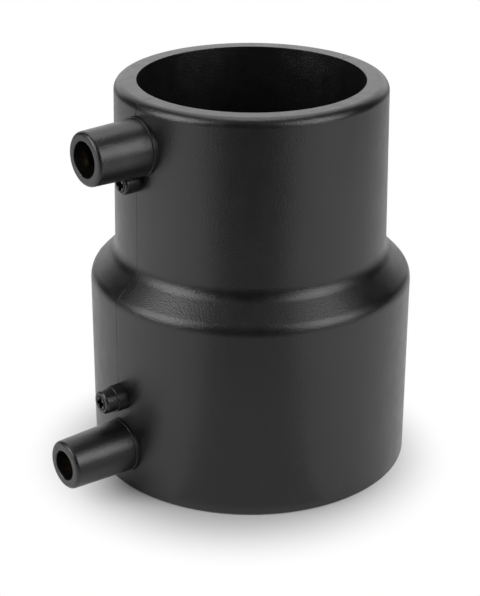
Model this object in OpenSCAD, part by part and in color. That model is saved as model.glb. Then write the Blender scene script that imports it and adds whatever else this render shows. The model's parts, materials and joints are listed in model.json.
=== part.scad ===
// Electrofusion reducer: joins a 75 mm pipe to a 63 mm pipe, both polyethylene.
// It stands on the mouth of its large socket. The terminals point along -Y.

/* [Small socket] */
// Bore that takes the smaller pipe
small_bore_d = 63.6; // [62.8:0.1:64.4]
// Depth of the small socket, from mouth to stop
small_depth = 52; // [46:0.5:60]
// Thickness of the wall at the mouth
small_wall = 6.3; // [5.8:0.1:8]
// Draft of the outside wall, in degrees
small_draft = 0.95; // [0:0.05:1.5]
// Round of the outer edge at the mouth
rim_round = 2.6; // [1:0.1:3.5]

/* [Large socket] */
// Bore that takes the larger pipe
large_bore_d = 75.7; // [74.6:0.1:76.8]
// Depth of the large socket, from mouth to stop
large_depth = 54; // [46:0.5:60]
// Thickness of the wall
large_wall = 8.25; // [7.25:0.05:10]
// Round of the outer edge at the mouth
foot_round = 0.6; // [0.3:0.1:2]

/* [Shoulder and stop] */
// Length of the stop between the two sockets
stop_length = 6.4; // [5.6:0.2:10]
// Bore through the stop
waterway_d = 55; // [48:0.5:58]
// Bevel that leads from the large socket into the waterway
waterway_bevel = 3.5; // [1:0.1:4.5]
// Bevel at the small socket's end of the waterway
stop_bevel = 0.8; // [0.3:0.1:1.2]
// Height of the shoulder's top above the large socket's stop
shoulder_rise = 9.6; // [7:0.2:13]
// Angle of the shoulder, from the axis
shoulder_angle = 45; // [35:1:60]
// Round where the shoulder meets the large outside wall
shoulder_round = 5.1; // [2:0.1:7]
// Hollow round where the shoulder meets the small outside wall
shoulder_fillet = 6; // [2:0.1:8]

/* [Terminal shrouds] */
// Small socket: distance from its mouth to the terminal's axis
small_terminal_inset = 12.2; // [11.4:0.1:16]
// Large socket: distance from its mouth to the terminal's axis
large_terminal_inset = 12.6; // [9:0.1:16]
// Small socket: how far the shroud stands out of the wall
small_shroud_reach = 17.3; // [16.5:0.1:22]
// Large socket: how far the shroud stands out of the wall
large_shroud_reach = 19.7; // [16.5:0.1:22]
// Small socket: outside diameter of the shroud at its tip
small_shroud_tip_d = 14.9; // [13.6:0.1:15.6]
// Large socket: outside diameter of the shroud at its tip
large_shroud_tip_d = 13.9; // [12.4:0.1:15]
// Small socket: outside diameter of the shroud at the wall
small_shroud_root_d = 15.8; // [15:0.1:16.2]
// Large socket: outside diameter of the shroud at the wall
large_shroud_root_d = 15.1; // [14.4:0.1:16.2]
// Small socket: bore of the shroud
small_shroud_bore_d = 9.9; // [9:0.1:10.6]
// Large socket: bore of the shroud
large_shroud_bore_d = 8.5; // [8:0.1:9.4]
// Depth of the shroud's bore
shroud_depth = 15.8; // [15.2:0.1:16.2]
// Round of the shroud's outer edge at its tip
shroud_round = 1.1; // [0.4:0.1:1.4]
// How far the flat ring at the shroud's root stands out around it
root_ring_step = 0.35; // [0.2:0.05:0.8]
// How far that ring stands out of the wall
root_ring_height = 0.7; // [0.4:0.1:1.5]

/* [Terminal pins] */
// Diameter of the contact pin
pin_d = 4.7; // [4:0.1:4.8]
// How far the pin's tip lies below the shroud's mouth
pin_below_mouth = 4.5; // [3.5:0.1:5.5]
// Bevel at the pin's tip
pin_bevel = 0.5; // [0.2:0.1:0.8]
// Diameter of the pin's flange, flush with the bottom of the shroud's bore
pin_flange_d = 6.6; // [5.6:0.1:7.4]
// Thickness of that flange
pin_flange_t = 1.4; // [1:0.1:1.6]
// Diameter of the shank behind the flange
pin_shank_d = 3.8; // [3.4:0.1:4.4]
// How deep the flange and shank are moulded in
pin_embedded = 3.2; // [2.8:0.1:3.4]
// Depth of the hole in the shank that takes the wire's end
wire_socket_depth = 1.5; // [1:0.1:1.8]

/* [Fusion indicators] */
// Small socket: distance from the terminal's axis to the indicator's
small_indicator_offset = 10; // [9.8:0.1:14]
// Large socket: distance from the terminal's axis to the indicator's
large_indicator_offset = 15.5; // [13:0.1:18]
// Small socket: how far the indicator lies beside the plane of the terminals, towards -X
small_indicator_aside = 1.5; // [0:0.1:2.5]
// Small socket: how far the boss stands out of the wall
small_boss_reach = 5; // [4.8:0.1:7]
// Large socket: how far the boss stands out of the wall
large_boss_reach = 6.9; // [4.8:0.1:7.4]
// Small socket: outside diameter of the boss
small_boss_d = 6; // [5.8:0.1:6.6]
// Large socket: outside diameter of the boss
large_boss_d = 6.7; // [6:0.1:7.2]
// Round of the boss's outer edge
boss_round = 0.8; // [0.3:0.1:1]
// Large socket: how far the flat ring at the boss's foot stands out around it
large_ring_step = 0.45; // [0.2:0.05:0.8]
// Large socket: how far that ring stands out of the wall
large_ring_height = 3.3; // [1:0.1:3.6]
// Diameter of the indicator pins
indicator_d = 3.8; // [3.2:0.1:3.8]
// Length of the indicator pin
indicator_length = 7.4; // [6.5:0.1:7.8]
// How far the pin's face stands proud of the boss before welding
indicator_proud = 0.15; // [0:0.05:0.5]
// Width of the cross-shaped recess's arms, a share of the pin's diameter
cross_width_share = 0.34; // [0.2:0.01:0.36]
// Length of the recess, tip to tip, a share of the pin's diameter
cross_length_share = 0.86; // [0.5:0.01:0.88]
// Depth of the recess
cross_depth = 1.2; // [0.6:0.1:2]

/* [Heating wire] */
// Diameter of the wire with its plastic coat
wire_d = 2; // [1.6:0.1:2]
// Distance from one turn to the next
wire_pitch = 2.2; // [2.2:0.05:2.4]
// Turns in the small socket
small_turns = 9; // [6:1:9]
// Turns in the large socket
large_turns = 11; // [6:1:11]
// Distance from the stop to the nearest turn, the same on both sides
wire_from_stop = 8; // [7:0.5:9]
// How far the turns lie below the bore's surface
wire_cover = 0.2; // [0.1:0.05:0.3]
// Bend of the wire where a winding meets its lead
winding_bend = 2; // [1.6:0.1:2.2]
// Bend of the wire where a lead turns out to its pin
lead_bend = 1.5; // [1.2:0.1:1.6]

/* [Fits] */
// Gap around the indicator pin, on the radius
indicator_gap = 0.1; // [0.05:0.01:0.1]
// Gap around what is moulded in, on the radius
insert_gap = 0.03; // [0.01:0.01:0.05]
// Room around the wire, on the radius
wire_gap = 0.25; // [0.2:0.05:0.3]

/* [Hidden] */
$fn = 96;
SMALL = 0;
LARGE = 1;
pe_black = [0.09, 0.09, 0.1];
coat_black = [0.2, 0.2, 0.22];
brass = [0.8, 0.65, 0.3];
// What a cut runs past the face it starts from
past = 1;
// What a round's circle bites past the faces it meets, so that they cross
bite = 0.0005;
// What a groove is wider and deeper than the hole and recess that it meets, so that no faces touch
groove_margin = 0.1;
// Room under an indicator pin
indicator_bottom_gap = 0.3;
// Room beyond a winding's bends in its recess
recess_room = 0.4;
// The link wire's slanting stretch: its ends above the stop and above the large socket's end face
small_link_rise = 2.6;
large_link_rise = 0.5;
// How far the link's grooves run past its bends
link_overrun = 0.8;
// How much of the wire socket's depth the wire fills
wire_seat_share = 0.8;

// Levels along the axis
stop_z = large_depth + stop_length;
top_z = stop_z + small_depth;
shoulder_z = large_depth + shoulder_rise;
terminal_z = [top_z - small_terminal_inset, large_terminal_inset];
indicator_z = [terminal_z[SMALL] - small_indicator_offset, terminal_z[LARGE] + large_indicator_offset];
indicator_x = [-small_indicator_aside, 0];

// Radii
bore_r = [small_bore_d / 2, large_bore_d / 2];
waterway_r = waterway_d / 2;
rim_r = bore_r[SMALL] + small_wall;
foot_r = bore_r[LARGE] + large_wall;
function small_wall_r(z) = rim_r + (top_z - z) * tan(small_draft);
shoulder_top_r = small_wall_r(shoulder_z);
shoulder_low_z = shoulder_z - (foot_r - shoulder_top_r) / tan(shoulder_angle);

// Outside wall at each terminal and each indicator
terminal_wall_r = [small_wall_r(terminal_z[SMALL]), foot_r];
indicator_wall_r = [small_wall_r(indicator_z[SMALL]), foot_r];

// Shrouds and pins, measured outwards from the axis
mouth_r = terminal_wall_r + [small_shroud_reach, large_shroud_reach];
shroud_floor_r = mouth_r - [shroud_depth, shroud_depth];
shroud_tip_r = [small_shroud_tip_d, large_shroud_tip_d] / 2;
shroud_root_r = [small_shroud_root_d, large_shroud_root_d] / 2;
shroud_bore_r = [small_shroud_bore_d, large_shroud_bore_d] / 2;
pin_length = shroud_depth - pin_below_mouth;
wire_hole_r = wire_d / 2 + wire_gap;
groove_half = wire_hole_r + groove_margin;

// Indicators
boss_reach = [small_boss_reach, large_boss_reach];
boss_face_r = indicator_wall_r + boss_reach;
boss_r = [small_boss_d, large_boss_d] / 2;

// Wire: its path's radius, and the first and last turn of each winding
wire_r = [for (r = bore_r) r + wire_cover + wire_d / 2];
turns = [small_turns, large_turns];
first_turn_z = [stop_z + wire_from_stop + small_turns * wire_pitch, large_depth - wire_from_stop];
last_turn_z = [stop_z + wire_from_stop, large_depth - wire_from_stop - large_turns * wire_pitch];
recess_depth = wire_cover + wire_d + wire_gap;
groove_depth = recess_depth + groove_margin;
recess_end = winding_bend + recess_room;
link_z = [stop_z + small_link_rise, large_depth + large_link_rise];
steps_per_turn = 24;
steps_per_bend = 4;
wire_sides = 6;

function unit(v) = v / norm(v);

// Rounds the corner b of a profile, between its neighbours a and c, with radius r
function half_angle(a, b, c) = acos(unit(a - b) * unit(c - b)) / 2;
function inward(a, b, c) = unit(unit(a - b) + unit(c - b));
function round_centre(a, b, c, r) = b + inward(a, b, c) * r / sin(half_angle(a, b, c));
function round_start(a, b, c, r) = b + unit(a - b) * r / tan(half_angle(a, b, c));

// What a round takes off an outer corner
module edge_round(a, b, c, r) {
    beyond = b - inward(a, b, c) * r / 4;
    difference() {
        polygon([round_start(a, b, c, r), beyond, round_start(c, b, a, r)]);
        translate(round_centre(a, b, c, r)) circle(r + bite);
    }
}

// Turned outside of the body, half its section
module outside_profile() {
    foot = [foot_r, 0];
    shoulder_low = [foot_r, shoulder_low_z];
    shoulder_top = [shoulder_top_r, shoulder_z];
    rim = [rim_r, top_z];
    top_centre = [0, top_z];
    difference() {
        polygon([
            [0, 0],
            foot,
            shoulder_low,
            round_start(shoulder_low, shoulder_top, rim, shoulder_fillet),
            round_start(rim, shoulder_top, shoulder_low, shoulder_fillet),
            rim,
            top_centre,
        ]);
        translate(round_centre(shoulder_low, shoulder_top, rim, shoulder_fillet))
            circle(shoulder_fillet + bite);
        edge_round([0, 0], foot, shoulder_low, foot_round);
        edge_round(foot, shoulder_low, shoulder_top, shoulder_round);
        edge_round(shoulder_top, rim, top_centre, rim_round);
    }
}

// Both sockets, the waterway and the recesses for the windings, half their section
module inside_profile() {
    polygon([
        [0, -past],
        [bore_r[LARGE], -past],
        [bore_r[LARGE], large_depth],
        [waterway_r + waterway_bevel, large_depth],
        [waterway_r, large_depth + waterway_bevel],
        [waterway_r, stop_z - stop_bevel],
        [waterway_r + stop_bevel, stop_z],
        [bore_r[SMALL], stop_z],
        [bore_r[SMALL], top_z + past],
        [0, top_z + past],
    ]);
    for (end = [SMALL, LARGE])
        translate([bore_r[end] - past, last_turn_z[end] - recess_end])
            square([
                recess_depth + past,
                first_turn_z[end] - last_turn_z[end] + 2 * recess_end,
            ]);
}

// Turns a shape so that its own Z points outwards along -Y, at a height, x beside the axis
module outwards(z, x = 0) {
    translate([x, 0, z]) rotate([90, 0, 0]) children();
}

// Shroud with the flat ring at its root, still solid
module shroud(end) {
    wall = terminal_wall_r[end];
    root = [shroud_root_r[end], wall];
    tip = [shroud_tip_r[end], mouth_r[end]];
    mouth_centre = [0, mouth_r[end]];
    buried = bore_r[end] + recess_depth + past;
    outwards(terminal_z[end]) {
        rotate_extrude()
            difference() {
                polygon([[0, buried], [shroud_root_r[end], buried], root, tip, mouth_centre]);
                edge_round(root, tip, mouth_centre, shroud_round);
            }
        translate([0, 0, buried])
            cylinder(h = wall + root_ring_height - buried, r = shroud_root_r[end] + root_ring_step);
    }
}

// Boss of a fusion indicator, still solid; the large socket's has a flat ring at its foot
module boss(end) {
    r = boss_r[end];
    buried = bore_r[end] + recess_depth + past;
    foot = [r, buried];
    edge = [r, boss_face_r[end]];
    face_centre = [0, boss_face_r[end]];
    outwards(indicator_z[end], indicator_x[end]) {
        rotate_extrude()
            difference() {
                polygon([[0, buried], foot, edge, face_centre]);
                edge_round(foot, edge, face_centre, boss_round);
            }
        if (end == LARGE)
            translate([0, 0, buried])
                cylinder(h = indicator_wall_r[end] + large_ring_height - buried, r = r + large_ring_step);
    }
}

// Shank and flange of a terminal pin from its inner end, grown by a gap for its pocket
module pin_root(gap) {
    translate([0, 0, -pin_embedded - gap])
        cylinder(h = pin_embedded, d = pin_shank_d + 2 * gap);
    translate([0, 0, -pin_flange_t - gap])
        cylinder(h = pin_flange_t + gap, d = pin_flange_d + 2 * gap);
}

// Everything that is cut around one terminal: the shroud's bore, the pin's pocket and the lead's way in
module terminal_cuts(end) {
    floor = shroud_floor_r[end];
    outwards(terminal_z[end]) {
        translate([0, 0, floor]) {
            cylinder(h = shroud_depth + past, r = shroud_bore_r[end]);
            pin_root(insert_gap);
        }
        translate([0, 0, bore_r[end] - past])
            cylinder(h = floor - pin_embedded - bore_r[end] + past, r = wire_hole_r);
    }
    lead_groove(end);
}

// Groove in the bore's wall for the lead, from the recess to the terminal's level
module lead_groove(end) {
    recess_z = end == SMALL ? first_turn_z[end] : last_turn_z[end];
    low = min(recess_z, terminal_z[end] - groove_half);
    high = max(recess_z, terminal_z[end] + groove_half);
    groove(end, low, high);
}

// Straight groove in a socket's bore, along the plane of the terminals
module groove(end, low, high) {
    translate([-groove_half, -bore_r[end] - groove_depth, low])
        cube([2 * groove_half, groove_depth + past, high - low]);
}

// Way of the link wire past the stop: a groove at each end and a slanting hole between them
module link_cuts() {
    low = [0, -wire_r[LARGE], link_z[LARGE]];
    run = [0, -wire_r[SMALL], link_z[SMALL]] - low;
    groove(SMALL, link_z[SMALL] - link_overrun, last_turn_z[SMALL]);
    groove(LARGE, first_turn_z[LARGE], link_z[LARGE] + link_overrun);
    translate(low) rotate([atan2(-run[1], run[2]), 0, 0]) cylinder(h = norm(run), r = wire_hole_r);
}

// Blind hole that guides an indicator pin
module indicator_hole(end) {
    bottom = boss_face_r[end] + indicator_proud - indicator_length - indicator_bottom_gap;
    outwards(indicator_z[end], indicator_x[end])
        translate([0, 0, bottom])
            cylinder(h = boss_face_r[end] - bottom + past, d = indicator_d + 2 * indicator_gap);
}

module body() {
    color(pe_black)
        difference() {
            union() {
                rotate_extrude() outside_profile();
                for (end = [SMALL, LARGE]) {
                    shroud(end);
                    boss(end);
                }
            }
            rotate_extrude() inside_profile();
            for (end = [SMALL, LARGE]) {
                terminal_cuts(end);
                indicator_hole(end);
            }
            link_cuts();
        }
}

module terminal_pin(end) {
    color(brass)
        outwards(terminal_z[end])
            translate([0, 0, shroud_floor_r[end]])
                difference() {
                    union() {
                        pin_root(0);
                        cylinder(h = pin_length - pin_bevel, d = pin_d);
                        translate([0, 0, pin_length - pin_bevel])
                            cylinder(h = pin_bevel, d1 = pin_d, d2 = pin_d - 2 * pin_bevel);
                    }
                    translate([0, 0, -pin_embedded - past])
                        cylinder(h = wire_socket_depth + past, d = wire_d + 2 * insert_gap);
                }
}

module fusion_indicator(end) {
    face = boss_face_r[end] + indicator_proud;
    width = indicator_d * cross_width_share;
    length = indicator_d * cross_length_share;
    color(pe_black)
        outwards(indicator_z[end], indicator_x[end])
            difference() {
                translate([0, 0, face - indicator_length])
                    cylinder(h = indicator_length, d = indicator_d);
                for (turn = [0, 90])
                    rotate([0, 0, turn])
                        translate([-length / 2, -width / 2, face - cross_depth])
                            cube([length, width, cross_depth + past]);
            }
}

// Point at radius r and height z, turned by angle a from the plane of the terminals
function around(r, a, z) = [r * sin(a), -r * cos(a), z];

// Lead from a pin's shank to the bore's wall, and its bend down the wall; heading is -1 down, 1 up
function lead(end, heading) = concat(
    [around(shroud_floor_r[end] - pin_embedded + wire_socket_depth * wire_seat_share, 0, terminal_z[end])],
    [
        for (i = [0:steps_per_bend])
            let (a = 90 * i / steps_per_bend)
                around(
                    wire_r[end] + lead_bend * (1 - sin(a)),
                    0,
                    terminal_z[end] + heading * lead_bend * (1 - cos(a))
                )
    ]
);

// One winding with its two bends, from its upper end down
function winding(end) =
    let (
        bend_a = winding_bend / wire_r[end] * 180 / PI,
        sweep = 360 * turns[end] - 2 * bend_a,
        steps = steps_per_turn * turns[end]
    )
    concat(
        [
            for (i = [0:steps_per_bend])
                let (a = 90 * i / steps_per_bend)
                    around(
                        wire_r[end],
                        bend_a * (1 - cos(a)),
                        first_turn_z[end] + winding_bend * (1 - sin(a))
                    )
        ],
        [
            for (i = [1:steps - 1])
                around(
                    wire_r[end],
                    bend_a + sweep * i / steps,
                    first_turn_z[end] - wire_pitch * turns[end] * i / steps
                )
        ],
        [
            for (i = [0:steps_per_bend])
                let (a = 90 * i / steps_per_bend)
                    around(
                        wire_r[end],
                        -bend_a * (1 - sin(a)),
                        last_turn_z[end] - winding_bend * (1 - cos(a))
                    )
        ]
    );

function reversed(list) = [for (i = [len(list) - 1:-1:0]) list[i]];

wire_path = concat(
    lead(SMALL, -1),
    winding(SMALL),
    [for (end = [SMALL, LARGE]) around(wire_r[end], 0, link_z[end])],
    winding(LARGE),
    reversed(lead(LARGE, 1))
);
wire_last = len(wire_path) - 1;
wire_run = [for (i = [0:wire_last]) unit(wire_path[min(i + 1, wire_last)] - wire_path[max(i - 1, 0)])];

// Side direction of each ring, carried along the path without twist
wire_side = [
    for (i = 0, side = [1, 0, 0]; i <= wire_last; i = i + 1, side = carried(side, min(i, wire_last)))
        side
];
function carried(side, i) = unit(side - (side * wire_run[i]) * wire_run[i]);

module heating_wire() {
    points = [
        for (i = [0:wire_last])
            for (k = [0:wire_sides - 1])
                let (
                    a = 360 * k / wire_sides,
                    side = carried(wire_side[i], i),
                    up = cross(wire_run[i], side)
                )
                    wire_path[i] + (side * cos(a) + up * sin(a)) * wire_d / 2
    ];
    walls = [
        for (i = [0:wire_last - 1])
            for (k = [0:wire_sides - 1])
                let (a = i * wire_sides + k, b = i * wire_sides + (k + 1) % wire_sides)
                    [a, a + wire_sides, b + wire_sides, b]
    ];
    start = [for (k = [0:wire_sides - 1]) k];
    finish = [for (k = [wire_sides - 1:-1:0]) wire_last * wire_sides + k];
    color(coat_black) polyhedron(points, concat(walls, [start], [finish]));
}

module small_terminal_pin() terminal_pin(SMALL);

module large_terminal_pin() terminal_pin(LARGE);

module small_fusion_indicator() fusion_indicator(SMALL);

module large_fusion_indicator() fusion_indicator(LARGE);

body();
heating_wire();
small_terminal_pin();
large_terminal_pin();
small_fusion_indicator();
large_fusion_indicator();
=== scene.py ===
# Electrofusion reducer, dressed for the render. Every piece keeps the place that the frame gives it.
import json
import math
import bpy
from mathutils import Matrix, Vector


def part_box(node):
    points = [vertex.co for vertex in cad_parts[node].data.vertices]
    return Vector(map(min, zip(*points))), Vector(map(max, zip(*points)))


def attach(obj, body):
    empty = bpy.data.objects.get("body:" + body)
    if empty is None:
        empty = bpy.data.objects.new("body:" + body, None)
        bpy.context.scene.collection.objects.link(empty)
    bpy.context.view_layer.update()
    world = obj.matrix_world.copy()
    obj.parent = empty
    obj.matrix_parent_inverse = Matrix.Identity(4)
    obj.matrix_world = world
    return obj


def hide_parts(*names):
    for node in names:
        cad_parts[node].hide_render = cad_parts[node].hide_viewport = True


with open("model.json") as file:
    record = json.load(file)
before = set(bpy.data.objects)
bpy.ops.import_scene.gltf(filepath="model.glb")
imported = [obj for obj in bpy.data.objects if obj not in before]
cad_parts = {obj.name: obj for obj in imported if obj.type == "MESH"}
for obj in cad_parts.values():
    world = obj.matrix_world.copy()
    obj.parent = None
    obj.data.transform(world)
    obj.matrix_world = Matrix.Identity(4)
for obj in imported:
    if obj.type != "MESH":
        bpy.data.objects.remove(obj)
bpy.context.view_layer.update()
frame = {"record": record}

from types import SimpleNamespace

import bmesh
import bpy
from mathutils import Matrix, Vector

MM = 0.001

# Places that the frame gives, in millimetres
MOUNTS = {mount["name"]: mount for mount in frame["record"]["mounts"]}
BODY_HIGH = Vector(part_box("body")[1]) / MM
TOP_Z = BODY_HIGH.z
FOOT_R = BODY_HIGH.x


def mount_z(name):
    return MOUNTS[name]["pos_m"][2] / MM


def mount_size(name, key):
    return MOUNTS[name]["dims"][key]


# Outside of the body, in millimetres
LARGE_DEPTH = mount_size("large_socket", "length_mm")
STOP_Z = TOP_Z - mount_size("small_socket", "length_mm")
RIM_R = 38.1
DRAFT = math.radians(0.95)
RIM_ROUND = 2.6
FOOT_ROUND = 0.6
SHOULDER_RISE = 9.6
SHOULDER_ROUND = 5.1
SHOULDER_FILLET = 6.0
EDGE_BREAK = 0.15
WATERWAY_R = 27.5
WATERWAY_BEVEL = 3.5
WATERWAY_ROUND = 1
STOP_BEVEL = 0.8

# Parting line of the mould, on the outside only
SEAM_ANGLE = math.radians(-1.8)
SEAM_HALF_WIDTH = math.radians(0.16)
SEAM_DEPTH = 0.08
OUTSIDE_MARGIN = 0.5

# Terminals
SHROUD_DEPTH = 15.8
SHROUD_ROUND = 1.1
ROOT_RING_STEP = 0.35
ROOT_RING_HEIGHT = 0.7
RING_EDGE_ROUND = 0.12
SHROUD_FLOOR_ROUND = 0.4
PIN_BELOW_MOUTH = 4.5
PIN_BEVEL = 0.5
PIN_SHOULDER_ROUND = 0.3
PIN_TIP_ROUND = 0.2
PIN_OUTER_ROUND = 0.15
PIN_INNER_ROUND = 0.1
PIN_FLANGE_R = 3.3
PIN_FLANGE_T = 1.4
PIN_SHANK_R = 1.9
PIN_EMBEDDED = 3.2
WIRE_SOCKET_DEPTH = 1.5
WIRE_SOCKET_SHARE = 0.8
INSERT_GAP = 0.03

# Fusion indicators
BOSS_ROUND = 0.8
LARGE_RING_STEP = 0.45
LARGE_RING_HEIGHT = 3.3
LARGE_RING_FILLET = 0.1
INDICATOR_LENGTH = 7.4
INDICATOR_PROUD = 0.15
INDICATOR_GAP = 0.1
INDICATOR_BOTTOM_GAP = 0.3
INDICATOR_FACE_ROUND = 0.12
INDICATOR_END_ROUND = 0.2
CROSS_WIDTH_SHARE = 0.34
CROSS_LENGTH_SHARE = 0.86
CROSS_DEPTH = 1.2
CROSS_BEVEL = 0.06
CROSS_BEVEL_FROM = math.radians(40)

# Heating wire
WIRE_R = 1.0
WIRE_PITCH = 2.2
WIRE_COVER = 0.2
WIRE_GAP = 0.25
WIRE_FROM_STOP = 8.0
WINDING_BEND = 2.0
LEAD_BEND = 1.5
RECESS_DEPTH = WIRE_COVER + 2 * WIRE_R + WIRE_GAP
RECESS_ROUND = 0.3
RECESS_ROOM = 0.4
RECESS_END = WINDING_BEND + RECESS_ROOM
WIRE_HOLE_R = WIRE_R + WIRE_GAP
GROOVE_MARGIN = 0.1
GROOVE_HALF = WIRE_HOLE_R + GROOVE_MARGIN
LINK_OVERRUN = 0.8
SMALL_LINK_RISE = 2.6
LARGE_LINK_RISE = 0.5
LINK_BEND = 3.0

# Fineness of the meshes
STEPS_PER_RIGHT_ANGLE = 10
BODY_STEPS = 360
SHROUD_STEPS = 128
PIN_STEPS = 96
WIRE_STEPS_PER_TURN = 96
WIRE_SIDES = 12
WIRE_BEND_STEPS = 8
LINK_HOLE_STEPS = 48

# Edges sharper than these stay sharp, in degrees; vertices nearer than this become one, in metres
CREASE = 28
BODY_CREASE = 13
WIRE_CREASE = 50
MERGE_DISTANCE = 1e-7

# Shares of a step by which solids and cuts are turned, so that no two edges meet in a union or a cut
SOLID_START = 0.37
CUT_START = 0.61

# How far a cut runs past what it cuts, a shroud or boss runs into the wall, and a height may be off
CUT_OVERRUN = 1
ROOT_OVERRUN = 1
HEIGHT_MARGIN = 0.01

# The part of a noise's values that is spread over a range
NOISE_LOW = 0.3
NOISE_HIGH = 0.7

# Plastic, with its patterns in features per metre and their depths in metres
PLASTIC_DARK = (0.003, 0.003, 0.0032)
PLASTIC_PALE = (0.0045, 0.0045, 0.0048)
CLOUDS_PER_METRE = 60
GLOSS_PATCHES_PER_METRE = 240
DIMPLES_PER_METRE = 900
DIMPLE_DEPTH = 0.00004
DIMPLE_STRENGTH = 0.35
GRAINS_PER_METRE = 2600
GRAIN_DEPTH = 0.00009
GRAIN_STRENGTH = 0.8

# Brass, in the same units
BRASS_DARK = (0.66, 0.47, 0.2)
BRASS_PALE = (0.8, 0.62, 0.32)
STAINS_PER_METRE = 700
BRASS_PATCHES_PER_METRE = 2600
BRASS_ROUGH = (0.18, 0.32)
TURNING_RINGS = 1200
TURNING_RING_DEPTH = 0.00001
TURNING_RING_STRENGTH = 0.3
TURNING_RING_WAVER = 1.5

# Camera, fitted to the photograph: metres, radians, and degrees for the azimuth
VIEW_AZIMUTH = 51.5
CAMERA_DISTANCE = 0.4409
CAMERA_HEIGHT = 0.2426
CAMERA_PAN = -0.00684
CAMERA_TILT = 0.42002
CAMERA_ROLL = -0.00322
CAMERA_LENS = 99.7
CAMERA_SENSOR = 36
CAMERA_CLIP = 0.01

# Room: its light on matt surfaces, and what reflections see of it, with angles in degrees
ROOM_LIGHT = 0.3
BACKDROP_GLOSS = 1.35
BACKDROP_RISE = 15
BACKDROP_REACH = 40
BACKDROP_FADE = 10
CEILING_GLOSS = 0.29
CEILING_REACH = 40
CEILING_FADE = 12

# Floor: where the camera sees its real shadow deepened by a painted shade, and the painted light near the
# foot that reflections see
FLOOR_HALF = 3.0
FLOOR_WHITE = 0.9
# Painted shade: the floor's grey to the camera, darker than its white, deepens its real shadow near the
# object
FLOOR_PAINTED_SHADE_GREY = 0.41
FLOOR_ROUGHNESS = 0.9
FLOOR_GLOW = 1.0
SHADOW_AZIMUTH = -22
SHADOW_SHIFT = 0.0098
SHADOW_NEAR = 0.0323
SHADOW_FAR = 0.0642
UNDER_EDGE = 0.002
FOOT_LIGHT_AZIMUTH = 125
FOOT_LIGHT_SHIFT = 0.07
FOOT_LIGHT_NEAR = 0.06
FOOT_LIGHT_FAR = 0.12
FOOT_LIGHT_SHARE = 0.6

# Card on the table in front of the object, which only reflections see
CARD_NEAR = 0.048
CARD_FAR = 0.8
CARD_HEIGHT = 0.001
CARD_FADE_FROM = 0.14
CARD_FADE_TO = 0.31
CARD_TURN = 28
CARD_STEPS = 12
CARD_LIGHT = 0.62
CARD_DARK = 0.12


def small_wall_r(z):
    """Outside radius of the small socket at a height."""
    return RIM_R + (TOP_Z - z) * math.tan(DRAFT)


def indicator_place(node):
    """Where an indicator pin's axis lies, across and up, and its radius."""
    low, high = (Vector(corner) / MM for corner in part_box(node))
    middle = (low + high) / 2
    return middle.x, middle.z, (high.z - low.z) / 2


def small_end():
    """Sizes at the small socket's end, in millimetres."""
    terminal_z = mount_z("small_terminal")
    indicator_x, indicator_z, indicator_r = indicator_place("small_fusion_indicator")
    end = SimpleNamespace(
        name="small",
        bore_r=mount_size("small_socket", "r_mm"),
        terminal_z=terminal_z,
        terminal_wall_r=small_wall_r(terminal_z),
        shroud_reach=17.3,
        shroud_tip_r=7.45,
        shroud_root_r=7.9,
        shroud_bore_r=4.95,
        indicator_x=indicator_x,
        indicator_z=indicator_z,
        indicator_r=indicator_r,
        indicator_wall_r=small_wall_r(indicator_z),
        boss_reach=5.0,
        boss_r=3.0,
        turns=9,
        last_turn_z=STOP_Z + WIRE_FROM_STOP,
        link_z=STOP_Z + SMALL_LINK_RISE,
    )
    end.first_turn_z = end.last_turn_z + end.turns * WIRE_PITCH
    return derived(end)


def large_end():
    """Sizes at the large socket's end, in millimetres."""
    indicator_x, indicator_z, indicator_r = indicator_place("large_fusion_indicator")
    end = SimpleNamespace(
        name="large",
        bore_r=mount_size("large_socket", "r_mm"),
        terminal_z=mount_z("large_terminal"),
        terminal_wall_r=FOOT_R,
        shroud_reach=19.7,
        shroud_tip_r=6.95,
        shroud_root_r=7.55,
        shroud_bore_r=4.25,
        indicator_x=indicator_x,
        indicator_z=indicator_z,
        indicator_r=indicator_r,
        indicator_wall_r=FOOT_R,
        boss_reach=6.9,
        boss_r=3.35,
        turns=11,
        first_turn_z=LARGE_DEPTH - WIRE_FROM_STOP,
        link_z=LARGE_DEPTH + LARGE_LINK_RISE,
    )
    end.last_turn_z = end.first_turn_z - end.turns * WIRE_PITCH
    return derived(end)


def derived(end):
    """Adds what follows from an end's own sizes, measured outwards from the axis."""
    end.mouth_r = end.terminal_wall_r + end.shroud_reach
    end.floor_r = end.mouth_r - SHROUD_DEPTH
    end.boss_face_r = end.indicator_wall_r + end.boss_reach
    end.wire_r = end.bore_r + WIRE_COVER + WIRE_R
    end.buried_r = end.bore_r + RECESS_DEPTH + ROOT_OVERRUN
    return end


SMALL = small_end()
LARGE = large_end()
ENDS = (SMALL, LARGE)


# Outlines

def arc_at(corner, before, after, radius):
    """Centre of the arc that rounds a corner between two points, and its two ends seen from there."""
    to_before = (before - corner).normalized()
    to_after = (after - corner).normalized()
    half = to_before.angle(to_after) / 2
    centre = corner + (to_before + to_after).normalized() * radius / math.sin(half)
    start = corner + to_before * radius / math.tan(half) - centre
    end = corner + to_after * radius / math.tan(half) - centre
    return centre, start, end


def rounded(corners, loop):
    """Outline from corners (radius, along, round), where each round becomes an arc."""
    points = []
    count = len(corners)
    for i, (radius, along, round_r) in enumerate(corners):
        at = Vector((radius, along))
        if round_r == 0 or (not loop and i in (0, count - 1)):
            points.append(at)
            continue
        before = Vector(corners[i - 1][:2])
        after = Vector(corners[(i + 1) % count][:2])
        centre, start, end = arc_at(at, before, after, round_r)
        swing = start.angle_signed(end)
        steps = max(2, round(abs(swing) / (math.pi / 2) * STEPS_PER_RIGHT_ANGLE))
        for step in range(steps + 1):
            points.append(centre + turned_by(start, -swing * step / steps))
    return points


def turned_by(vector, angle):
    return Matrix.Rotation(angle, 2) @ vector


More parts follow.
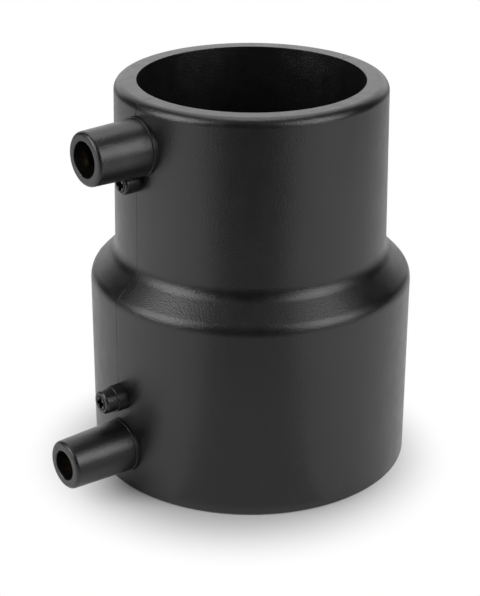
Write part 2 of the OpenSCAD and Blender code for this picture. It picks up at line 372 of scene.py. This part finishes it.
def body_outline():
    """Loop up the outside and down the inside."""
    shoulder_z = LARGE_DEPTH + SHOULDER_RISE
    shoulder_r = small_wall_r(shoulder_z)
    outside = [
        (FOOT_R, 0, FOOT_ROUND),
        (FOOT_R, shoulder_z - (FOOT_R - shoulder_r), SHOULDER_ROUND),
        (shoulder_r, shoulder_z, SHOULDER_FILLET),
        (RIM_R, TOP_Z, RIM_ROUND),
    ]
    inside = [
        (SMALL.bore_r, TOP_Z, EDGE_BREAK),
        *recess(SMALL),
        (SMALL.bore_r, STOP_Z, 0),
        (WATERWAY_R + STOP_BEVEL, STOP_Z, EDGE_BREAK),
        (WATERWAY_R, STOP_Z - STOP_BEVEL, EDGE_BREAK),
        (WATERWAY_R, LARGE_DEPTH + WATERWAY_BEVEL, WATERWAY_ROUND),
        (WATERWAY_R + WATERWAY_BEVEL, LARGE_DEPTH, WATERWAY_ROUND),
        (LARGE.bore_r, LARGE_DEPTH, 0),
        *recess(LARGE),
        (LARGE.bore_r, 0, EDGE_BREAK),
    ]
    return rounded(outside + inside, loop=True)


def recess(end):
    """Corners of the recess for a winding, from its upper end down."""
    high = end.first_turn_z + RECESS_END
    low = end.last_turn_z - RECESS_END
    deep = end.bore_r + RECESS_DEPTH
    return [
        (end.bore_r, high, 0),
        (deep, high, RECESS_ROUND),
        (deep, low, RECESS_ROUND),
        (end.bore_r, low, 0),
    ]


# Meshes

def upright(radius, angle, along):
    """Place on a shape turned about the fitting's axis; angle 0 is the terminals' side."""
    return Vector((radius * math.sin(angle), -radius * math.cos(angle), along)) * MM


def outwards(height, across=0):
    """Places on a shape turned about a terminal's or indicator's axis, which points along -Y."""
    def place(radius, angle, along):
        return Vector((across + radius * math.cos(angle), -along, height + radius * math.sin(angle))) * MM
    return place


def outwards_at_indicator(end):
    return outwards(end.indicator_z, end.indicator_x)


def even_angles(steps, start=0.0):
    """Angles of a full turn in equal steps, from a share of a step on."""
    return [2 * math.pi * (step + start) / steps for step in range(steps)]


def turned(name, outline, place, angles, lift=None):
    """Turned solid. Its outline is a loop, or runs from the axis to the axis."""
    bm = bmesh.new()
    count = len(outline)
    loop = outline[0][0] > 0
    hubs = {i: bm.verts.new(place(0, 0, point[1])) for i, point in enumerate(outline) if point[0] == 0}
    rings = []
    for angle in angles:
        height = lift(angle) if lift else 0
        ring = []
        for i, point in enumerate(outline):
            if i in hubs:
                ring.append(hubs[i])
                continue
            run = outline[(i + 1) % count] - outline[i - 1]
            normal = Vector((run[1], -run[0])).normalized()
            shift = height if on_outside(point) else 0
            radius, along = point + normal * shift
            ring.append(bm.verts.new(place(radius, angle, along)))
        rings.append(ring)
    for ring, following in zip(rings, rings[1:] + rings[:1]):
        for i in range(count if loop else count - 1):
            j = (i + 1) % count
            corners = list(dict.fromkeys([ring[i], ring[j], following[j], following[i]]))
            if len(corners) > 2:
                bm.faces.new(corners)
    return finished(name, bm)


def on_outside(point):
    """Whether the parting line shows at a point of the body's outline."""
    radius, along = point
    above_foot = along > FOOT_ROUND
    wall_r = small_wall_r(along) if along > LARGE_DEPTH else FOOT_R
    outer = radius > wall_r - OUTSIDE_MARGIN
    return above_foot and (outer or along > TOP_Z - HEIGHT_MARGIN)


def block(name, low, high):
    """Box between two corners in millimetres."""
    low, high = Vector(low) * MM, Vector(high) * MM
    bm = bmesh.new()
    bmesh.ops.create_cube(bm, size=1)
    for vert in bm.verts:
        vert.co = (low + high) / 2 + Vector(a * b for a, b in zip(vert.co, high - low))
    return finished(name, bm)


def finished(name, bm):
    """Object from a bmesh, with its faces turned outwards."""
    bmesh.ops.recalc_face_normals(bm, faces=bm.faces)
    mesh = bpy.data.meshes.new(name)
    bm.to_mesh(mesh)
    bm.free()
    piece = bpy.data.objects.new(name, mesh)
    bpy.context.scene.collection.objects.link(piece)
    return piece


def combined(piece, operation, tools):
    """Joins or cuts a piece with tools, which are then gone."""
    for tool in tools:
        modifier = piece.modifiers.new(tool.name, "BOOLEAN")
        modifier.operation = operation
        modifier.object = tool
        modifier.solver = "EXACT"
    bake(piece)
    for tool in tools:
        bpy.data.objects.remove(tool)


def bake(piece):
    """Applies a piece's modifiers."""
    depsgraph = bpy.context.evaluated_depsgraph_get()
    mesh = bpy.data.meshes.new_from_object(piece.evaluated_get(depsgraph))
    piece.modifiers.clear()
    piece.data = mesh


def smooth(piece, crease_degrees=CREASE):
    """Smooth shading, except over edges sharper than the crease; normals follow the large faces."""
    bm = bmesh.new()
    bm.from_mesh(piece.data)
    bmesh.ops.remove_doubles(bm, verts=bm.verts, dist=MERGE_DISTANCE)
    bmesh.ops.dissolve_degenerate(bm, edges=bm.edges, dist=MERGE_DISTANCE)
    bm.to_mesh(piece.data)
    bm.free()
    piece.data.shade_smooth()
    piece.data.set_sharp_from_angle(angle=math.radians(crease_degrees))
    normals = piece.modifiers.new("normals", "WEIGHTED_NORMAL")
    normals.mode = "FACE_AREA"
    normals.weight = 50
    normals.keep_sharp = True
    bake(piece)


def shroud(end):
    """Terminal shroud with the flat ring at its root, without its bore."""
    ring_r = end.shroud_root_r + ROOT_RING_STEP
    ring_top = end.terminal_wall_r + ROOT_RING_HEIGHT
    taper = (end.shroud_root_r - end.shroud_tip_r) / end.shroud_reach
    outline = rounded([
        (0, end.buried_r, 0),
        (ring_r, end.buried_r, 0),
        (ring_r, ring_top, RING_EDGE_ROUND),
        (end.shroud_root_r - taper * ROOT_RING_HEIGHT, ring_top, 0),
        (end.shroud_tip_r, end.mouth_r, SHROUD_ROUND),
        (0, end.mouth_r, 0),
    ], loop=False)
    angles = even_angles(SHROUD_STEPS, SOLID_START)
    return turned(f"{end.name}_shroud", outline, outwards(end.terminal_z), angles)


def boss(end):
    """Boss of a fusion indicator, without its hole; the large one has a flat ring at its foot."""
    foot = [(0, end.buried_r, 0), (end.boss_r, end.buried_r, 0)]
    if end is LARGE:
        ring_r = end.boss_r + LARGE_RING_STEP
        ring_top = end.indicator_wall_r + LARGE_RING_HEIGHT
        foot = [
            (0, end.buried_r, 0),
            (ring_r, end.buried_r, 0),
            (ring_r, ring_top, RING_EDGE_ROUND),
            (end.boss_r, ring_top, LARGE_RING_FILLET),
        ]
    face = [(end.boss_r, end.boss_face_r, BOSS_ROUND), (0, end.boss_face_r, 0)]
    outline = rounded(foot + face, loop=False)
    angles = even_angles(PIN_STEPS, SOLID_START)
    return turned(f"{end.name}_boss", outline, outwards_at_indicator(end), angles)


def terminal_cut(end):
    """The lead's way in, the pin's pocket and the shroud's bore, as one turned tool."""
    root = end.floor_r - PIN_EMBEDDED - INSERT_GAP
    flange = end.floor_r - PIN_FLANGE_T - INSERT_GAP
    outline = rounded([
        (0, end.bore_r - CUT_OVERRUN, 0),
        (WIRE_HOLE_R, end.bore_r - CUT_OVERRUN, 0),
        (WIRE_HOLE_R, root, 0),
        (PIN_SHANK_R + INSERT_GAP, root, 0),
        (PIN_SHANK_R + INSERT_GAP, flange, 0),
        (PIN_FLANGE_R + INSERT_GAP, flange, 0),
        (PIN_FLANGE_R + INSERT_GAP, end.floor_r, 0),
        (end.shroud_bore_r, end.floor_r, SHROUD_FLOOR_ROUND),
        (end.shroud_bore_r, end.mouth_r - EDGE_BREAK, 0),
        (end.shroud_bore_r + 2 * EDGE_BREAK, end.mouth_r + EDGE_BREAK, 0),
        (0, end.mouth_r + EDGE_BREAK, 0),
    ], loop=False)
    angles = even_angles(PIN_STEPS, CUT_START)
    return turned(f"{end.name}_terminal_cut", outline, outwards(end.terminal_z), angles)


def indicator_cut(end):
    """Blind hole that guides an indicator, with a broken edge."""
    hole_r = end.indicator_r + INDICATOR_GAP
    bottom = end.boss_face_r + INDICATOR_PROUD - INDICATOR_LENGTH - INDICATOR_BOTTOM_GAP
    outline = rounded([
        (0, bottom, 0),
        (hole_r, bottom, 0),
        (hole_r, end.boss_face_r - EDGE_BREAK, 0),
        (hole_r + 2 * EDGE_BREAK, end.boss_face_r + EDGE_BREAK, 0),
        (0, end.boss_face_r + EDGE_BREAK, 0),
    ], loop=False)
    angles = even_angles(PIN_STEPS, CUT_START)
    return turned(f"{end.name}_indicator_cut", outline, outwards_at_indicator(end), angles)


def groove(name, end, low_z, high_z):
    """Straight groove in a socket's bore, in the plane of the terminals."""
    return block(
        name,
        (-GROOVE_HALF, -end.bore_r - RECESS_DEPTH - GROOVE_MARGIN, low_z),
        (GROOVE_HALF, -end.bore_r + CUT_OVERRUN, high_z),
    )


def wire_ways():
    """Grooves for the leads and the link, and the slanting hole past the stop."""
    low = Vector((0, -LARGE.wire_r, LARGE.link_z))
    run = Vector((0, -SMALL.wire_r, SMALL.link_z)) - low
    tilt = run.to_track_quat("Z", "Y")

    def place(radius, angle, along):
        return (low + tilt @ Vector((radius * math.cos(angle), radius * math.sin(angle), along))) * MM

    corners = [(0, 0, 0), (WIRE_HOLE_R, 0, 0), (WIRE_HOLE_R, run.length, 0), (0, run.length, 0)]
    hole = rounded(corners, loop=False)
    return [
        groove("small_lead_groove", SMALL, SMALL.first_turn_z, SMALL.terminal_z + GROOVE_HALF),
        groove("large_lead_groove", LARGE, LARGE.terminal_z - GROOVE_HALF, LARGE.last_turn_z),
        groove("small_link_groove", SMALL, SMALL.link_z - LINK_OVERRUN, SMALL.last_turn_z),
        groove("large_link_groove", LARGE, LARGE.first_turn_z, LARGE.link_z + LINK_OVERRUN),
        turned("link_hole", hole, place, even_angles(LINK_HOLE_STEPS, CUT_START)),
    ]


def body_angles():
    """Even columns, with three narrow ones at each side's parting line."""
    seams = [SEAM_ANGLE + side + step * SEAM_HALF_WIDTH for side in (0, math.pi) for step in (-1, 0, 1)]
    seams = [seam % (2 * math.pi) for seam in seams]
    clear = [
        angle for angle in even_angles(BODY_STEPS)
        if min(abs(math.remainder(angle - seam, 2 * math.pi)) for seam in seams) > SEAM_HALF_WIDTH
    ]
    return sorted(clear + seams)


def seam_lift(angle):
    """How far the surface stands out at an angle: less than nothing in the parting line."""
    off = abs(math.remainder(angle - SEAM_ANGLE, math.pi))
    return -SEAM_DEPTH * max(0, 1 - off / SEAM_HALF_WIDTH)


def moulded_body(plastic):
    """The whole moulding: the turned body with its shrouds and bosses, and what is cut into it."""
    piece = turned("moulded_body", body_outline(), upright, body_angles(), seam_lift)
    combined(piece, "UNION", [solid(end) for end in ENDS for solid in (shroud, boss)])
    cuts = [cut(end) for end in ENDS for cut in (terminal_cut, indicator_cut)]
    combined(piece, "DIFFERENCE", cuts + wire_ways())
    smooth(piece, crease_degrees=BODY_CREASE)
    piece.data.materials.append(plastic)
    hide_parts("body")
    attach(piece, "fitting")


def terminal_pin(end, brass):
    """Turned brass pin, with the blind hole for the wire's end."""
    floor = end.floor_r
    inner = floor - PIN_EMBEDDED
    pin_r = mount_size(f"{end.name}_terminal", "r_mm")
    tip = end.mouth_r - PIN_BELOW_MOUTH
    hole_r = WIRE_R + INSERT_GAP
    outline = rounded([
        (0, inner + WIRE_SOCKET_DEPTH, 0),
        (hole_r, inner + WIRE_SOCKET_DEPTH, 0),
        (hole_r, inner, PIN_INNER_ROUND),
        (PIN_SHANK_R, inner, PIN_OUTER_ROUND),
        (PIN_SHANK_R, floor - PIN_FLANGE_T, 0),
        (PIN_FLANGE_R, floor - PIN_FLANGE_T, PIN_INNER_ROUND),
        (PIN_FLANGE_R, floor, PIN_OUTER_ROUND),
        (pin_r, floor, PIN_INNER_ROUND),
        (pin_r, tip - PIN_BEVEL, PIN_SHOULDER_ROUND),
        (pin_r - PIN_BEVEL, tip, PIN_TIP_ROUND),
        (0, tip, 0),
    ], loop=False)
    piece = turned(f"{end.name}_brass_pin", outline, outwards(end.terminal_z), even_angles(PIN_STEPS))
    smooth(piece)
    piece.data.materials.append(brass)
    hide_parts(f"{end.name}_terminal_pin")
    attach(piece, "fitting")


def fusion_indicator(end, plastic):
    """Indicator pin with a cross-shaped recess in its face."""
    face = end.boss_face_r + INDICATOR_PROUD
    outline = rounded([
        (0, face - INDICATOR_LENGTH, 0),
        (end.indicator_r, face - INDICATOR_LENGTH, INDICATOR_END_ROUND),
        (end.indicator_r, face, INDICATOR_FACE_ROUND),
        (0, face, 0),
    ], loop=False)
    piece = turned(f"{end.name}_indicator", outline, outwards_at_indicator(end), even_angles(PIN_STEPS))
    length = CROSS_LENGTH_SHARE * end.indicator_r
    width = CROSS_WIDTH_SHARE * end.indicator_r
    arms = [
        block(
            f"{end.name}_cross_{number}",
            (end.indicator_x - half_x, -face - CUT_OVERRUN, end.indicator_z - half_z),
            (end.indicator_x + half_x, -face + CROSS_DEPTH, end.indicator_z + half_z),
        )
        for number, (half_x, half_z) in enumerate(((length, width), (width, length)))
    ]
    combined(piece, "DIFFERENCE", arms)
    bevel = piece.modifiers.new("edges", "BEVEL")
    bevel.width = CROSS_BEVEL * MM
    bevel.segments = 2
    bevel.limit_method = "ANGLE"
    bevel.angle_limit = CROSS_BEVEL_FROM
    bake(piece)
    smooth(piece)
    piece.data.materials.append(plastic)
    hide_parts(f"{end.name}_fusion_indicator")
    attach(piece, f"{end.name}_indicator")


# Heating wire

def bend(corner, before, after, radius):
    """Points along the arc that rounds a corner between two points."""
    centre, start, end = arc_at(corner, before, after, radius)
    return [centre + start.slerp(end, step / WIRE_BEND_STEPS) for step in range(WIRE_BEND_STEPS + 1)]


def around(radius, angle, z):
    """Place in millimetres around the fitting's axis; angle 0 is the terminals' side."""
    return Vector((radius * math.sin(angle), -radius * math.cos(angle), z))


def lead(end, heading):
    """Wire from its pin to the bore's wall and round towards the winding: heading -1 down, 1 up."""
    pin_end = end.floor_r - PIN_EMBEDDED + WIRE_SOCKET_DEPTH * WIRE_SOCKET_SHARE
    corner = around(end.wire_r, 0, end.terminal_z)
    pin = around(pin_end, 0, end.terminal_z)
    winding_side = corner + Vector((0, 0, heading))
    return [pin] + bend(corner, pin, winding_side, LEAD_BEND)


def winding(end):
    """One winding with the bends at its two ends, from its upper end down."""
    bend_angle = WINDING_BEND / end.wire_r
    sweep = 2 * math.pi * end.turns - 2 * bend_angle
    steps = WIRE_STEPS_PER_TURN * end.turns
    quarter = [math.pi / 2 * step / WIRE_BEND_STEPS for step in range(WIRE_BEND_STEPS + 1)]
    start = [
        around(
            end.wire_r,
            bend_angle * (1 - math.cos(a)),
            end.first_turn_z + WINDING_BEND * (1 - math.sin(a)),
        )
        for a in quarter
    ]
    turns = [
        around(
            end.wire_r,
            bend_angle + sweep * step / steps,
            end.first_turn_z - WIRE_PITCH * end.turns * step / steps,
        )
        for step in range(1, steps)
    ]
    finish = [
        around(
            end.wire_r,
            -bend_angle * (1 - math.sin(a)),
            end.last_turn_z - WINDING_BEND * (1 - math.cos(a)),
        )
        for a in quarter
    ]
    return start + turns + finish


def link():
    """Wire past the stop, from the small winding to the large one."""
    top = around(SMALL.wire_r, 0, SMALL.link_z)
    low = around(LARGE.wire_r, 0, LARGE.link_z)
    above = top + Vector((0, 0, 1))
    below = low - Vector((0, 0, 1))
    return bend(top, above, low, LINK_BEND) + bend(low, top, below, LINK_BEND)


def heating_wire(coat):
    """One tube along the whole path, from the small socket's pin to the large one's."""
    path = lead(SMALL, -1) + winding(SMALL) + link() + winding(LARGE) + lead(LARGE, 1)[::-1]
    bm = bmesh.new()
    rings = []
    side = Vector((1, 0, 0))
    for i, point in enumerate(path):
        run = (path[min(i + 1, len(path) - 1)] - path[max(i - 1, 0)]).normalized()
        side = (side - run * side.dot(run)).normalized()
        up = run.cross(side)
        rings.append([
            bm.verts.new((point + (side * math.cos(a) + up * math.sin(a)) * WIRE_R) * MM)
            for a in even_angles(WIRE_SIDES)
        ])
    for ring, following in zip(rings, rings[1:]):
        for k in range(WIRE_SIDES):
            j = (k + 1) % WIRE_SIDES
            bm.faces.new([ring[k], ring[j], following[j], following[k]])
    bm.faces.new(rings[0])
    bm.faces.new(rings[-1])
    piece = finished("coated_wire", bm)
    smooth(piece, crease_degrees=WIRE_CREASE)
    piece.data.materials.append(coat)
    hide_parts("heating_wire")
    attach(piece, "fitting")


# Materials

def tree_tools(tree, shader_type):
    """A node tree's shader, and functions that add nodes and links to the tree."""
    shader = next(node for node in tree.nodes if node.type == shader_type)

    def add(kind, **settings):
        node = tree.nodes.new(kind)
        for key, value in settings.items():
            setattr(node, key, value)
        return node

    return shader, add, tree.links.new


def new_material(name):
    """Material with its shader, and functions that add nodes and links to it."""
    material = bpy.data.materials.new(name)
    material.use_nodes = True
    return material, *tree_tools(material.node_tree, "BSDF_PRINCIPLED")


def noise(add, link_to, scale, detail):
    """Noise in the object's own coordinates, with a scale in features per metre."""
    coordinates = add("ShaderNodeTexCoord")
    texture = add("ShaderNodeTexNoise")
    texture.inputs["Scale"].default_value = scale
    texture.inputs["Detail"].default_value = detail
    link_to(coordinates.outputs["Object"], texture.inputs["Vector"])
    return texture.outputs["Fac"]


def spread(add, link_to, value, low, high):
    """Maps the middle of a noise onto a range."""
    ramp = add("ShaderNodeMapRange")
    ramp.inputs["From Min"].default_value = NOISE_LOW
    ramp.inputs["From Max"].default_value = NOISE_HIGH
    ramp.inputs["To Min"].default_value = low
    ramp.inputs["To Max"].default_value = high
    link_to(value, ramp.inputs["Value"])
    return ramp.outputs["Result"]


def tint(add, link_to, value, dark, light):
    """Colour between two, by a value from 0 to 1."""
    mix = add("ShaderNodeMix", data_type="RGBA")
    mix.inputs["A"].default_value = (*dark, 1)
    mix.inputs["B"].default_value = (*light, 1)
    link_to(value, mix.inputs["Factor"])
    return mix.outputs["Result"]


def calculated(add, link_to, operation, *values):
    """What a sum, product or the like of other nodes' values gives."""
    node = add("ShaderNodeMath", operation=operation)
    for value, socket in zip(values, node.inputs):
        link_to(value, socket)
    return node.outputs["Value"]


def bump(add, link_to, height, distance, strength, below=None):
    """Relief from a pattern, on top of another relief if there is one below."""
    node = add("ShaderNodeBump")
    node.inputs["Distance"].default_value = distance
    node.inputs["Strength"].default_value = strength
    link_to(height, node.inputs["Height"])
    if below:
        link_to(below, node.inputs["Normal"])
    return node.outputs["Normal"]


def black_plastic(name, low_rough, high_rough, grain):
    """Black polyethylene: fine blasted grain, faint clouding, gloss that varies a little."""
    material, shader, add, link_to = new_material(name)
    clouds = spread(add, link_to, noise(add, link_to, CLOUDS_PER_METRE, detail=3), 0, 1)
    link_to(tint(add, link_to, clouds, PLASTIC_DARK, PLASTIC_PALE), shader.inputs["Base Color"])
    patches = noise(add, link_to, GLOSS_PATCHES_PER_METRE, detail=4)
    link_to(spread(add, link_to, patches, low_rough, high_rough), shader.inputs["Roughness"])
    dimples = noise(add, link_to, DIMPLES_PER_METRE, detail=2)
    coarse = bump(add, link_to, dimples, DIMPLE_DEPTH, DIMPLE_STRENGTH * grain)
    grains = noise(add, link_to, GRAINS_PER_METRE, detail=1)
    fine = bump(add, link_to, grains, GRAIN_DEPTH, GRAIN_STRENGTH * grain, coarse)
    link_to(fine, shader.inputs["Normal"])
    return material


def moulded_plastic():
    return black_plastic("moulded_plastic", low_rough=0.28, high_rough=0.35, grain=1.0)


def indicator_plastic():
    return black_plastic("indicator_plastic", low_rough=0.26, high_rough=0.34, grain=0.4)


def wire_coat():
    return black_plastic("wire_coat", low_rough=0.3, high_rough=0.4, grain=0.4)


def turned_brass():
    """Bright brass with the fine rings that turning leaves."""
    material, shader, add, link_to = new_material("turned_brass")
    shader.inputs["Metallic"].default_value = 1.0
    stains = spread(add, link_to, noise(add, link_to, STAINS_PER_METRE, detail=3), 0, 1)
    link_to(tint(add, link_to, stains, BRASS_DARK, BRASS_PALE), shader.inputs["Base Color"])
    patches = noise(add, link_to, BRASS_PATCHES_PER_METRE, detail=2)
    link_to(spread(add, link_to, patches, *BRASS_ROUGH), shader.inputs["Roughness"])
    rings = add("ShaderNodeTexWave", wave_type="BANDS", bands_direction="Y")
    rings.inputs["Scale"].default_value = TURNING_RINGS
    rings.inputs["Distortion"].default_value = TURNING_RING_WAVER
    coordinates = add("ShaderNodeTexCoord")
    link_to(coordinates.outputs["Object"], rings.inputs["Vector"])
    relief = bump(add, link_to, rings.outputs["Fac"], TURNING_RING_DEPTH, TURNING_RING_STRENGTH)
    link_to(relief, shader.inputs["Normal"])
    return material


# Studio

def direction(azimuth, elevation):
    """Unit vector towards a place in the studio; azimuth 0 is the camera's side, 90 is to its right."""
    turn = math.radians(VIEW_AZIMUTH + azimuth)
    rise = math.radians(elevation)
    return Vector((math.sin(turn) * math.cos(rise), -math.cos(turn) * math.cos(rise), math.sin(rise)))


def studio_world():
    """White to the camera; reflections see a white backdrop, a pale ceiling and a dark room in front."""
    world = bpy.data.worlds.new("studio")
    bpy.context.scene.world = world
    world.use_nodes = True
    shader, add, link_to = tree_tools(world.node_tree, "BACKGROUND")
    shader.inputs["Color"].default_value = (1, 1, 1, 1)
    coordinates = add("ShaderNodeTexCoord")

    def glow(towards, reach, fade, strength):
        """Round patch of light in reflections, with a soft edge."""
        nearness = add("ShaderNodeVectorMath", operation="DOT_PRODUCT")
        nearness.inputs[1].default_value = towards
        link_to(coordinates.outputs["Generated"], nearness.inputs[0])
        patch = add("ShaderNodeMapRange", interpolation_type="SMOOTHSTEP")
        patch.inputs["From Min"].default_value = math.cos(math.radians(reach + fade))
        patch.inputs["From Max"].default_value = math.cos(math.radians(reach - fade))
        patch.inputs["To Max"].default_value = strength
        link_to(nearness.outputs["Value"], patch.inputs["Value"])
        return patch.outputs["Result"]

    backdrop = glow(direction(180, BACKDROP_RISE), BACKDROP_REACH, BACKDROP_FADE, BACKDROP_GLOSS)
    ceiling = glow((0, 0, 1), CEILING_REACH, CEILING_FADE, CEILING_GLOSS)
    reflected = calculated(add, link_to, "ADD", backdrop, ceiling)
    ray = add("ShaderNodeLightPath").outputs
    seen = calculated(add, link_to, "MAXIMUM", ray["Is Camera Ray"], ray["Is Transmission Ray"])
    glossy = add("ShaderNodeMix", data_type="FLOAT")
    glossy.inputs["A"].default_value = ROOM_LIGHT
    link_to(ray["Is Glossy Ray"], glossy.inputs["Factor"])
    link_to(reflected, glossy.inputs["B"])
    strength = add("ShaderNodeMix", data_type="FLOAT")
    strength.inputs["B"].default_value = 1.0
    link_to(seen, strength.inputs["Factor"])
    link_to(glossy.outputs["Result"], strength.inputs["A"])
    link_to(strength.outputs["Result"], shader.inputs["Strength"])


def distance_map(add, link_to, centre, near, far, at_near, at_far):
    """Value that changes smoothly with the distance from a point on the floor."""
    coordinates = add("ShaderNodeTexCoord")
    away = add("ShaderNodeVectorMath", operation="DISTANCE")
    away.inputs[1].default_value = centre
    link_to(coordinates.outputs["Object"], away.inputs[0])
    mapped = add("ShaderNodeMapRange", interpolation_type="SMOOTHSTEP")
    mapped.inputs["From Min"].default_value = near
    mapped.inputs["From Max"].default_value = far
    mapped.inputs["To Min"].default_value = at_near
    mapped.inputs["To Max"].default_value = at_far
    link_to(away.outputs["Value"], mapped.inputs["Value"])
    return mapped.outputs["Result"]


def white_floor():
    """White table: near the object the camera sees it lit, in a painted shade of grey that deepens its
    real shadow, and plain white further off.

    Under the object it has no light of its own, and reflections see a painted pool of light on it behind
    the foot.
    """
    bm = bmesh.new()
    bmesh.ops.create_grid(bm, x_segments=1, y_segments=1, size=FLOOR_HALF)
    floor = finished("floor", bm)
    material, shader, add, link_to = new_material("floor_white")
    ray = add("ShaderNodeLightPath").outputs
    # Painted shade: the camera sees the floor in a darker grey than the white that bounced light and
    # reflections see
    white = tint(add, link_to, ray["Is Camera Ray"], [FLOOR_WHITE] * 3, [FLOOR_PAINTED_SHADE_GREY] * 3)
    link_to(white, shader.inputs["Base Color"])
    shader.inputs["Roughness"].default_value = FLOOR_ROUGHNESS
    shader.inputs["Specular IOR Level"].default_value = 0.0
    glow = add("ShaderNodeEmission")
    glow.inputs["Color"].default_value = (1, 1, 1, 1)
    glow.inputs["Strength"].default_value = FLOOR_GLOW

    # Painted shadow: near this centre the floor shows its darker grey with its real shadow, and further
    # off it glows plain white
    shadow_centre = direction(SHADOW_AZIMUTH, 0) * SHADOW_SHIFT
    off_shadow = distance_map(add, link_to, shadow_centre, SHADOW_NEAR, SHADOW_FAR, 0, 1)
    edge = FOOT_R * MM
    not_under = distance_map(add, link_to, (0, 0, 0), edge - UNDER_EDGE, edge, 0, 1)
    # Painted light: a glowing pool on the floor behind the foot, which only reflections see
    foot_centre = direction(FOOT_LIGHT_AZIMUTH, 0) * FOOT_LIGHT_SHIFT
    foot_reach = (FOOT_LIGHT_NEAR, FOOT_LIGHT_FAR)
    near_foot = distance_map(add, link_to, foot_centre, *foot_reach, FOOT_LIGHT_SHARE, 0)
    in_picture = calculated(add, link_to, "MULTIPLY", off_shadow, not_under)
    in_reflections = calculated(add, link_to, "MULTIPLY", ray["Is Glossy Ray"], near_foot)
    share = calculated(add, link_to, "MULTIPLY_ADD", ray["Is Camera Ray"], in_picture, in_reflections)
    mix = add("ShaderNodeMixShader")
    link_to(share, mix.inputs["Fac"])
    link_to(shader.outputs["BSDF"], mix.inputs[1])
    link_to(glow.outputs["Emission"], mix.inputs[2])
    link_to(mix.outputs["Shader"], surface_of(material))
    floor.data.materials.append(material)


def surface_of(material):
    """The input of a material that takes its surface."""
    output = next(node for node in material.node_tree.nodes if node.type == "OUTPUT_MATERIAL")
    return output.inputs["Surface"]


def front_card():
    """Fan-shaped grey card in front of the object, darker further out, which only reflections see."""
    bm = bmesh.new()
    rings = []
    lift = Vector((0, 0, CARD_HEIGHT))
    for step in range(CARD_STEPS + 1):
        out = direction(CARD_TURN * (2 * step / CARD_STEPS - 1), 0)
        rings.append([bm.verts.new(out * away + lift) for away in (CARD_NEAR, CARD_FAR)])
    for ring, following in zip(rings, rings[1:]):
        bm.faces.new([ring[0], ring[1], following[1], following[0]])
    card = finished("front_card", bm)
    material, _, add, link_to = new_material("card_grey")
    glow = add("ShaderNodeEmission")
    strength = distance_map(add, link_to, (0, 0, 0), CARD_FADE_FROM, CARD_FADE_TO, CARD_LIGHT, CARD_DARK)
    link_to(strength, glow.inputs["Strength"])
    link_to(glow.outputs["Emission"], surface_of(material))
    card.data.materials.append(material)
    card.visible_camera = False
    card.visible_diffuse = False
    card.visible_shadow = False
    card.visible_transmission = False


def softbox(name, azimuth, elevation, distance, size, brightness):
    """Area lamp that faces the object, as bright as a card that glows with that strength."""
    out = direction(azimuth, elevation)
    lamp = bpy.data.lights.new(name, "AREA")
    lamp.shape = "RECTANGLE"
    lamp.size, lamp.size_y = size
    lamp.energy = brightness * math.pi * size[0] * size[1]
    holder = bpy.data.objects.new(name, lamp)
    holder.location = Vector((0, 0, TOP_Z * MM / 2)) + out * distance
    holder.rotation_euler = (-out).to_track_quat("-Z", "Y").to_euler()
    bpy.context.scene.collection.objects.link(holder)


def camera():
    """Camera that looks at the object as the photograph does."""
    data = bpy.data.cameras.new("camera")
    data.lens = CAMERA_LENS
    data.sensor_width = CAMERA_SENSOR
    data.clip_start = CAMERA_CLIP
    turn = Matrix.Rotation(math.radians(VIEW_AZIMUTH), 4, "Z")
    place = turn @ Matrix.Translation((0, -CAMERA_DISTANCE, CAMERA_HEIGHT))
    aim = (
        Matrix.Rotation(-CAMERA_PAN, 4, "Z")
        @ Matrix.Rotation(math.pi / 2 - CAMERA_TILT, 4, "X")
        @ Matrix.Rotation(-CAMERA_ROLL, 4, "Z")
    )
    holder = bpy.data.objects.new("camera", data)
    holder.matrix_world = place @ aim
    bpy.context.scene.collection.objects.link(holder)
    bpy.context.scene.camera = holder


# Scene

camera()
studio_world()
white_floor()
front_card()
softbox("left", azimuth=-66, elevation=29, distance=0.6, size=(0.38, 0.44), brightness=5.5)
softbox("right", azimuth=58, elevation=29, distance=0.6, size=(0.38, 0.44), brightness=4.5)
softbox("overhead", azimuth=180, elevation=75, distance=0.8, size=(0.5, 0.45), brightness=2.5)

moulded_body(moulded_plastic())
heating_wire(wire_coat())
pin_brass = turned_brass()
pin_plastic = indicator_plastic()
for fitting_end in ENDS:
    terminal_pin(fitting_end, pin_brass)
    fusion_indicator(fitting_end, pin_plastic)

bpy.context.scene.view_settings.view_transform = "Standard"
